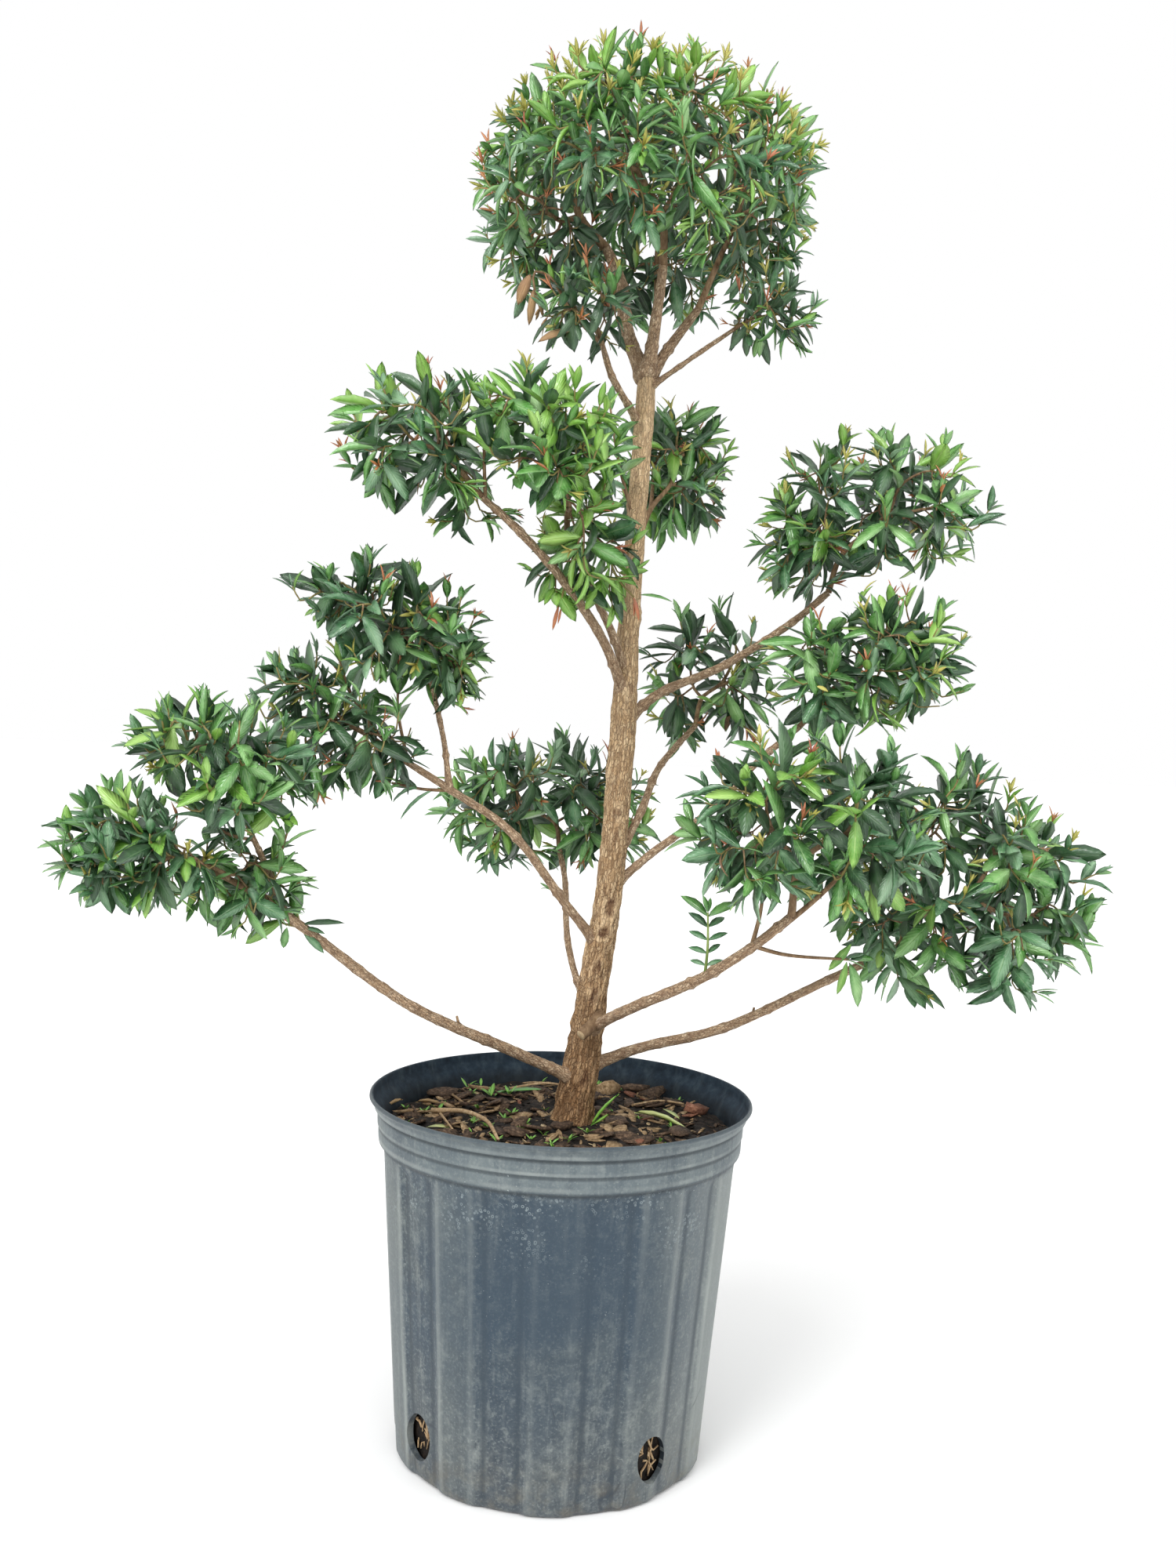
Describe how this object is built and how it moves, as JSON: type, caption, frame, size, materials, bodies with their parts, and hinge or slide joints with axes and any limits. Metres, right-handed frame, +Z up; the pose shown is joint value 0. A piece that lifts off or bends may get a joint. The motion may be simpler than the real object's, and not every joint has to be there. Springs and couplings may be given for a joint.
{
  "type": "pom-pom topiary shrub in a nursery pot",
  "caption": "Clipped shrub in a nursery pot: a leaning bare trunk, rounded masses of small leaves at the ends of long bare boughs, and a loose ball of leaves at the top.",
  "frame": {"origin": "centre of the pot's flat underside", "axes": "+X to the right in the picture, +Y away from the camera, +Z up along the pot's axis"},
  "size_m": [0.7592, 0.4676, 1.1123],
  "materials": {
    "pot": "weathered black plastic faded to blue-grey, with chalky streaks",
    "soil": "rough dark potting mix with bark chips",
    "bark": "matt tan-brown fissured bark",
    "leaf": "satin dark to mid green leaves"
  },
  "bodies": {
    "root": {"pot": "pot", "soil": "soil", "trunk": "bark", "bough_low_left": "bark", "bough_low_left_rise": "bark", "bough_mid_left": "bark", "bough_mid_left_arch": "bark", "bough_back": "bark", "bough_upper_left_outer": "bark", "bough_upper_left_inner": "bark", "bough_high_right": "bark", "bough_inner_right": "bark", "bough_mid_right": "bark", "bough_low_right_front": "bark", "bough_low_right_back": "bark", "leader_left": "bark", "leader_front": "bark", "leader_right": "bark", "leader_back": "bark", "side_shoot_right": "bark", "side_shoot_left": "bark", "ball_left": "leaf", "ball_front": "leaf", "ball_right": "leaf", "ball_back": "leaf", "ball_skirt_right": "leaf", "ball_skirt_left": "leaf", "pad_upper_left_outer": "leaf", "pad_upper_left_inner": "leaf", "pad_upper_back": "leaf", "pad_high_right": "leaf", "pad_mid_right": "leaf", "pad_inner_right": "leaf", "pad_mid_left_arch": "leaf", "pad_mid_left": "leaf", "pad_low_left_top": "leaf", "pad_low_left": "leaf", "pad_back": "leaf", "pad_low_right_front": "leaf", "pad_low_right": "leaf"}
  },
  "joints": []
}
